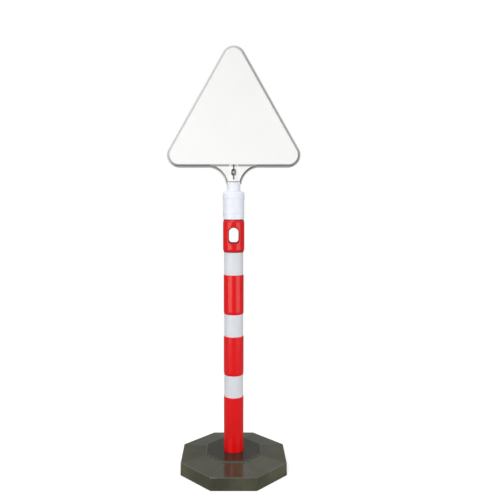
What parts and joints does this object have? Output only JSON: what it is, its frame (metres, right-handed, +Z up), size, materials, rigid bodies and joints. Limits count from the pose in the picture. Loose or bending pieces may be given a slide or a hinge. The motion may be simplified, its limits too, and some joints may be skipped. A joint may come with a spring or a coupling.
{
  "type": "marker post sign",
  "caption": "Portable marker post on a heavy octagonal rubber base, with reflective bands, a hand slot and a blank triangular sign head that swivels on a push-on adaptor.",
  "frame": {"origin": "middle of the base's underside, on the post's axis", "axes": "+Z up along the post, -Y out of the sign's front face, +X to the right seen from the front"},
  "size_m": [0.4956, 0.402, 1.5965],
  "materials": {
    "base_rubber": "moulded, semi-gloss",
    "red_plastic": "blow-moulded, satin gloss",
    "reflective_sheet": "retroreflective sheet",
    "adaptor_plastic": "moulded, satin gloss",
    "ring_rubber": "matt",
    "sign_plastic": "moulded, satin",
    "panel_sheet": "smooth, blank",
    "fastener_steel": "zinc plated"
  },
  "bodies": {
    "base": {"base_block": "base_rubber"},
    "post": {"post_tube": "red_plastic", "lower_band": "reflective_sheet", "middle_band": "reflective_sheet", "upper_band": "reflective_sheet"},
    "adaptor": {"adaptor": "adaptor_plastic", "swivel_ring": "ring_rubber"},
    "sign": {"front_shell": "sign_plastic", "rear_shell": "sign_plastic", "front_panel": "panel_sheet", "rear_panel": "panel_sheet", "clamp_screw": "fastener_steel", "clamp_washers": "fastener_steel", "clamp_nut": "fastener_steel", "shell_screws": "fastener_steel"}
  },
  "joints": [
    {"name": "post_lift", "type": "slide", "parent": "base", "child": "post", "axis": [0, 0, 1], "range_m": [0, 0.08]},
    {"name": "adaptor_lift", "type": "slide", "parent": "post", "child": "adaptor", "axis": [0, 0, 1], "range_m": [0, 0.09]},
    {"name": "sign_swivel", "type": "hinge", "parent": "adaptor", "child": "sign", "pos_m": [0, 0, 1.1], "axis": [0, 0, 1], "continuous": true}
  ]
}
